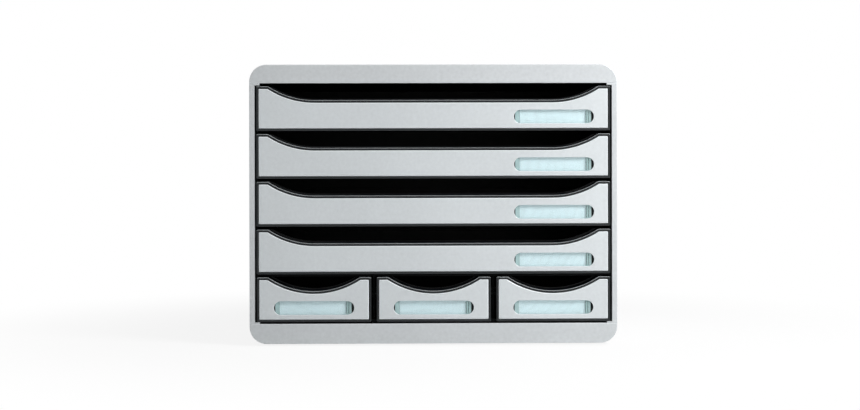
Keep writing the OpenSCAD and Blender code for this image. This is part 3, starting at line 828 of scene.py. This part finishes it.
# %% Cut its cross recess
CROSS_L = 3.4 * MM
CROSS_W = 0.85 * MM
CROSS_D = 0.9 * MM
CROSS_ABOVE = 1 * MM
CROSS_TAPER = 0.55
cutter = bmesh.new()
for length, width in ((CROSS_L, CROSS_W), (CROSS_W, CROSS_L)):
    for vert in bmesh.ops.create_cube(cutter, size=1.0)["verts"]:
        taper = 1.0 if vert.co.z > 0 else CROSS_TAPER
        vert.co = Vector((vert.co.x * length * taper, vert.co.y * width * taper,
                          HEAD_H - CROSS_D if vert.co.z < 0 else HEAD_H + CROSS_ABOVE))
cross = as_object("cross", cutter)
recess = screws.modifiers.new("recess", "BOOLEAN")
recess.object = cross
recess.operation = "DIFFERENCE"
recess.solver = "EXACT"
recess.use_self = True
settle(screws)
bpy.data.objects.remove(cross)
print("with its recess it has", len(screws.data.polygons), "faces")

# %% Set out the screws, heads to the back
SCREW_COLUMNS = 4
SCREW_ROWS = 2
for vert in screws.data.vertices:
    x, y, z = vert.co
    vert.co = (x, z, -y)
screws.data.set_sharp_from_angle(angle=math.radians(40))
low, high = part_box("back_screws")
middle = (low + high) / 2
set_out(screws, Columns=SCREW_COLUMNS, Rows=SCREW_ROWS, Upright=True, Finish=SCREW_STEEL,
        Column_spacing=(high.x - low.x - 2 * HEAD_R) / (SCREW_COLUMNS - 1),
        Row_spacing=(high.z - low.z - 2 * HEAD_R) / (SCREW_ROWS - 1),
        Middle=(middle.x, high.y - HEAD_H, middle.z))
stands_for(screws, "casing", ["back_screws"])

# %% [markdown]
# ### The feet
#
# Each foot is a rubber disc with a chamfered lower edge. Its underside has shallow rings, as
# moulded feet do, so that it holds on a smooth desk. A disc with rings is a turned shape again, so
# one profile gives all of it.

# %% Make a foot and set out four
low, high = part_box("foot_1")
far_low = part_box("foot_4")[0]
FOOT_R = (high.x - low.x) / 2
GROOVES = ((4.3 * MM, 5.2 * MM), (7.3 * MM, 8.0 * MM))
GROOVE_D = 0.3 * MM
foot_profile = [(0, 0.35 * MM), (2.2 * MM, 0.35 * MM), (2.5 * MM, 0.0)]
for inner, outer in GROOVES:
    foot_profile += [(inner - GROOVE_D, 0.0), (inner, GROOVE_D),
                     (outer, GROOVE_D), (outer + GROOVE_D, 0.0)]
foot_profile += [(FOOT_R - 0.6 * MM, 0.0), (FOOT_R - 0.2 * MM, 0.25 * MM), (FOOT_R, 0.65 * MM),
                 (FOOT_R, high.z - 0.2 * MM), (FOOT_R - 0.2 * MM, high.z), (0, high.z)]
feet = turned("feet_detailed", foot_profile, steps=64, finish=FOOT_RUBBER)
feet.data.set_sharp_from_angle(angle=math.radians(50))
set_out(feet, Columns=2, Rows=2, Upright=False, Finish=FOOT_RUBBER,
        Column_spacing=far_low.x - low.x, Row_spacing=far_low.y - low.y, Middle=(0, 0, 0))
stands_for(feet, "casing", ["foot_1", "foot_2", "foot_3", "foot_4"])

# %% [markdown]
# ## Labels
#
# The holder shows through the window with the card behind it. Its finish has to know which part
# lies over the card, so its mesh is cut at the card's two ends and the faces between are marked.
# Its right end carries two fine upright ribs for a fingernail, which read as thin dark lines
# beside the card. They could be part of the holder's mesh, but a piece of their own can have the
# darker finish, and one rib set out twice is easy to change.

# %% Make a holder's ribs
RIBS = 2
RIB_SPACING = 2.1 * MM
RIB_W = 0.7 * MM
RIB_D = 0.3 * MM
RIB_H = 11 * MM
RIB_TO_CARD = 0.3 * MM
RIB_ROUNDING = 0.12 * MM


def add_ribs(kind, i):
    """Upright ribs on the front of a label holder, beside the right end of its card."""
    low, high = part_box(f"{kind}_label_holder_{i}")
    card_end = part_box(f"{kind}_label_card_{i}")[1].x
    mesh = bmesh.new()
    bmesh.ops.create_cube(mesh, size=1.0)
    for vert in mesh.verts:
        vert.co = Vector((vert.co.x * RIB_W, vert.co.y * RIB_D, vert.co.z * RIB_H))
    ribs = rounded(f"{kind}_label_ribs_{i}", mesh, HOLDER_RIBS, RIB_ROUNDING)
    ribs_x = card_end + (RIB_SPACING + RIB_W) / 2 + RIB_TO_CARD
    set_out(ribs, Columns=RIBS, Rows=1, Column_spacing=RIB_SPACING, Row_spacing=0.0, Upright=True,
            Finish=HOLDER_RIBS, Middle=(ribs_x, low.y - RIB_D / 2, (low.z + high.z) / 2))
    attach(ribs, f"{kind}_drawer_{i}")


# %% Make the holders, each with its ribs
HOLDER_ROUNDING = 0.2 * MM


def cut_upright(mesh, x):
    """Cut every face of a bmesh where an upright plane at x crosses it."""
    bmesh.ops.bisect_plane(mesh, geom=mesh.verts[:] + mesh.edges[:] + mesh.faces[:],
                           plane_co=(x, 0, 0), plane_no=(1, 0, 0))


for kind, i in drawers:
    node = f"{kind}_label_holder_{i}"
    low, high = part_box(node)
    card_low, card_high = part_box(f"{kind}_label_card_{i}")
    mesh = welded(node)
    cut_upright(mesh, card_low.x)
    cut_upright(mesh, card_high.x)
    holder = rounded(node + "_clear", mesh, HOLDER_CLEAR, HOLDER_ROUNDING,
                     lambda edge: 1.0 if middle_of(edge).y < low.y + TOUCH else 0.0, 2)
    mark(holder, "over_card", lambda face: card_low.x < face.center.x < card_high.x)
    stands_for(holder, f"{kind}_drawer_{i}", [node])
    add_ribs(kind, i)
print(len(drawers), "holders have", RIBS, "ribs each")

# %% [markdown]
# A card is a thin sheet with rounded corners that lies flat in its slot. It could be a single
# plane, but a closed sheet of the card's own thickness also shows a paper edge. Each corner is a
# quarter turn round its own centre.

# %% Make the cards
CARD_CORNER = 0.8 * MM
CARD_ROUNDING = 0.04 * MM
CORNER_STEPS = 4
for kind, i in drawers:
    node = f"{kind}_label_card_{i}"
    low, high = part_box(node)
    outline = []
    for right, up, start in ((1, 1, 0), (-1, 1, 90), (-1, -1, 180), (1, -1, 270)):
        centre_x = (high.x if right > 0 else low.x) - right * CARD_CORNER
        centre_z = (high.z if up > 0 else low.z) - up * CARD_CORNER
        for step in range(CORNER_STEPS + 1):
            turn = math.radians(start + 90 / CORNER_STEPS * step)
            outline.append((centre_x + CARD_CORNER * math.cos(turn),
                            centre_z + CARD_CORNER * math.sin(turn)))
    mesh = bmesh.new()
    rear = [mesh.verts.new((x, high.y, z)) for x, z in outline]
    front = [mesh.verts.new((x, low.y, z)) for x, z in outline]
    mesh.faces.new(rear)
    mesh.faces.new(list(reversed(front)))
    for k in range(len(outline)):
        following = (k + 1) % len(outline)
        mesh.faces.new((rear[k], front[k], front[following], rear[following]))
    bmesh.ops.recalc_face_normals(mesh, faces=mesh.faces)
    card = rounded(node + "_paper", mesh, LABEL_CARD, CARD_ROUNDING, segments=2)
    stands_for(card, f"{kind}_drawer_{i}", [node])

# %% [markdown]
# ## The floor
#
# The floor is a pale disc that fades into the white world towards its rim, so that no horizon
# shows. To the camera it is mostly plain white light with a share of its lit surface, which keeps
# the soft shadow under the cabinet. A floor that only catches shadows would be simpler, but this
# one also throws light up under the cabinet, as a white table does.

# %% Make the floor
FLOOR_R = 2.2
FADE_START = 0.22
FADE_END = 0.60
FLOOR_DROP = 0.2 * MM
LEAST_WHITE = 0.87
PALE = (0.90, 0.90, 0.90, 1.0)
floor_mesh = bmesh.new()
bmesh.ops.create_circle(floor_mesh, cap_ends=True, segments=96, radius=FLOOR_R)
floor_finish = Finish("pale_floor")
distance = floor_finish.add("ShaderNodeVectorMath", {"operation": "LENGTH"},
                            {0: floor_finish.place}, "Value")
fade = distance.ramp(FADE_START, FADE_END)
lit = floor_finish.add("ShaderNodeBsdfDiffuse", None, {"Color": PALE})
white = floor_finish.add("ShaderNodeEmission", None, {"Color": WHITE, "Strength": 1.0})
to_camera = floor_finish.add("ShaderNodeLightPath", output="Is Camera Ray")
share = to_camera * (fade * (1 - LEAST_WHITE) + LEAST_WHITE)
mixed = floor_finish.add("ShaderNodeMixShader", None, {0: share, 1: lit, 2: white})
floor_finish.add("ShaderNodeOutputMaterial", None, {"Surface": mixed})
floor = as_object("floor", floor_mesh, floor_finish.material)
floor.location.z = -FLOOR_DROP
floor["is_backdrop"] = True
print("floor radius", FLOOR_R, "m")

# %% [markdown]
# ## Hand over
#
# The visual model has to keep the CAD model's size, so both boxes are written down and compared.

# %% Write the sizes and finish
visual_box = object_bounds()
grow = [round(abs(a - b) / MM, 2) for a, b in zip((*cad_box[0], *cad_box[1]),
                                                  (*visual_box[0], *visual_box[1]))]
print("the two boxes differ by, in mm:", grow)
